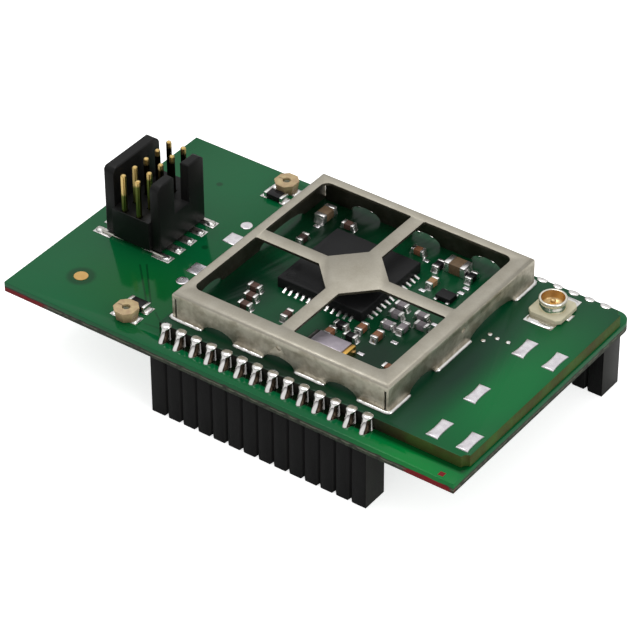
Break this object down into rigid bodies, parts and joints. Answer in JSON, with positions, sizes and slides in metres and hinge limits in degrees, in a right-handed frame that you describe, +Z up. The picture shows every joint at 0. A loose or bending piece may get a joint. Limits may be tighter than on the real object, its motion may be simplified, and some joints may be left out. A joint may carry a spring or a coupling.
{
  "type": "radio module",
  "caption": "Radio module with a windowed metal shield, soldered by its edges to a carrier board that plugs on to two rows of pins, with a debug header and a coaxial socket.",
  "frame": {"origin": "under the middle of the carrier board, on the plane that the two socket strips stand on", "axes": "+X along the carrier board's long side, from the debug header to the antenna; +Y from the shorter socket strip to the longer one; +Z up, out of the component side"},
  "size_m": [0.0372, 0.0218, 0.0117],
  "materials": {
    "carrier_mask": "green solder mask over glass laminate, satin",
    "module_mask": "darker green solder mask, satin",
    "moulding": "black moulded plastic, matt",
    "gold_plate": "gold flash plating, bright",
    "solder": "reflowed solder, bright and wet looking",
    "shield_metal": "tin-plated sheet, dull with stains",
    "light_moulding": "cream moulded plastic, matt",
    "light_clear": "clear resin, yellowish",
    "resistor_black": "black glazed ceramic",
    "socket_ivory": "ivory moulded plastic, matt",
    "chip_black": "dark grey moulding compound, matt",
    "crystal_metal": "plated can, satin",
    "capacitor_grey": "brown-grey ceramic",
    "capacitor_tan": "tan ceramic",
    "coil_orange": "orange-brown ceramic",
    "bare_metal": "tinned copper pads, satin"
  },
  "bodies": {
    "root": {"carrier_board": "carrier_mask", "module_board": "module_mask", "front_socket": "moulding", "back_socket": "moulding", "front_contacts": "gold_plate", "back_contacts": "gold_plate", "front_edge_joints": "solder", "back_edge_joints": "solder", "shield_frame": "shield_metal", "shield_solder": "solder", "header_shroud": "moulding", "header_pins": "gold_plate", "header_pads": "bare_metal", "front_light_body": "light_moulding", "back_light_body": "light_moulding", "front_light_lens": "light_clear", "back_light_lens": "light_clear", "light_pads": "bare_metal", "front_light_resistor": "resistor_black", "back_light_resistor": "resistor_black", "front_resistor_ends": "solder", "back_resistor_ends": "solder", "coax_base": "socket_ivory", "coax_shell": "gold_plate", "coax_pin": "gold_plate", "coax_pads": "bare_metal", "radio_chip": "chip_black", "radio_chip_leads": "solder", "crystal_can": "crystal_metal", "crystal_ends": "gold_plate", "chip_part_ends": "solder", "small_chip": "chip_black", "small_chip_leads": "solder", "bare_pads": "bare_metal", "antenna_pads": "bare_metal", "solder_dots": "solder", "carrier_pads": "bare_metal", "fiducial": "gold_plate", "front_left_capacitors": "capacitor_grey", "back_left_capacitor": "capacitor_tan", "back_left_resistor": "resistor_black", "back_left_small_capacitor": "capacitor_grey", "back_right_large_capacitor": "capacitor_tan", "back_right_capacitor": "capacitor_tan", "back_right_coil": "coil_orange", "back_right_resistors": "resistor_black", "front_right_capacitors": "coil_orange", "front_right_resistors": "resistor_black", "front_right_coil": "coil_orange", "matching_parts": "capacitor_grey"}
  },
  "joints": []
}
